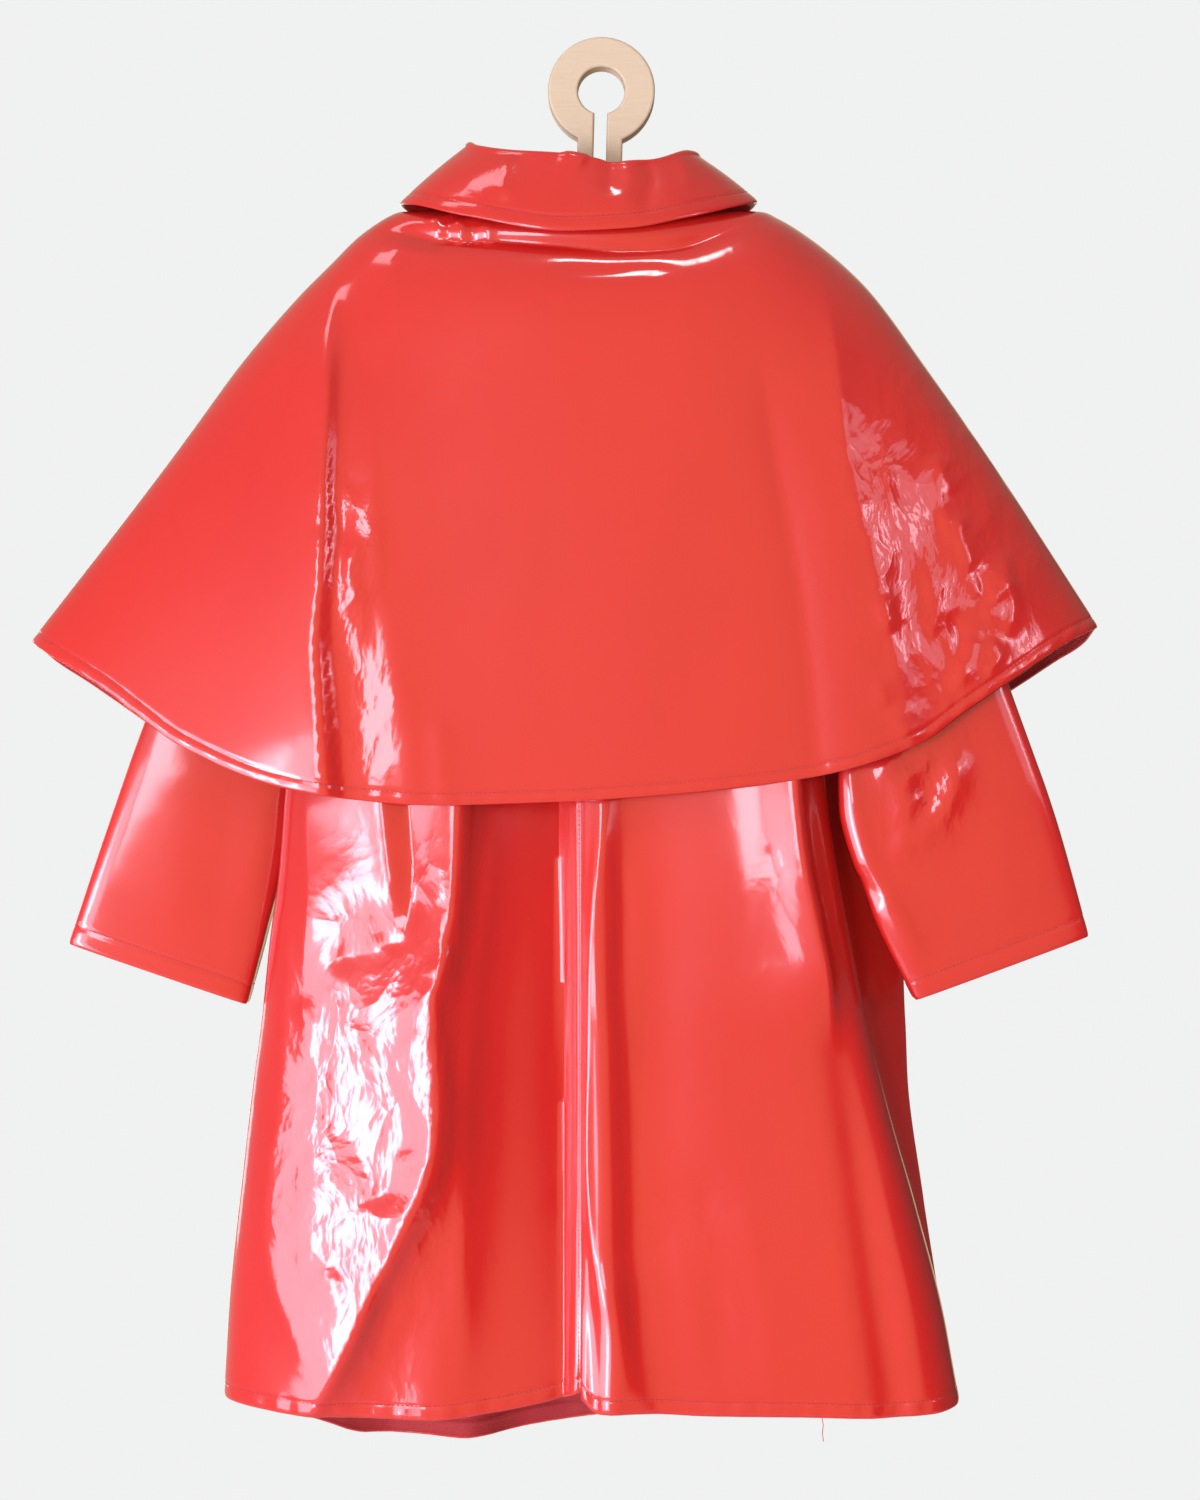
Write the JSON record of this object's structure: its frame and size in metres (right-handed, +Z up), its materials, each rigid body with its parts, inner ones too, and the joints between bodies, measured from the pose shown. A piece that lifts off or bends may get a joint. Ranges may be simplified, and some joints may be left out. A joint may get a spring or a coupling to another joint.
{
  "type": "raincoat on a hanger",
  "caption": "Child's glossy coated raincoat with a shoulder cape and turned-down collar, hanging flat on a plywood ring hanger.",
  "frame": {"origin": "top of the hole in the hanger's ring, in the middle of the board's thickness, where the nail or hook bears", "axes": "+Z up, +X along the hanger towards the wearer's right sleeve, -Y out of the coat's back"},
  "size_m": [0.6394, 0.1099, 0.846],
  "materials": {
    "coated_cloth": "glossy coated",
    "button_plastic": "glossy",
    "plywood": "satin"
  },
  "bodies": {
    "root": {"back_left": "coated_cloth", "back_right": "coated_cloth", "front_left": "coated_cloth", "front_right": "coated_cloth", "sleeve_left": "coated_cloth", "sleeve_right": "coated_cloth", "cape_back": "coated_cloth", "cape_front_left": "coated_cloth", "cape_front_right": "coated_cloth", "collar": "coated_cloth", "button_1": "button_plastic", "button_2": "button_plastic", "button_3": "button_plastic", "button_4": "button_plastic", "button_5": "button_plastic", "hanger": "plywood"}
  },
  "joints": []
}
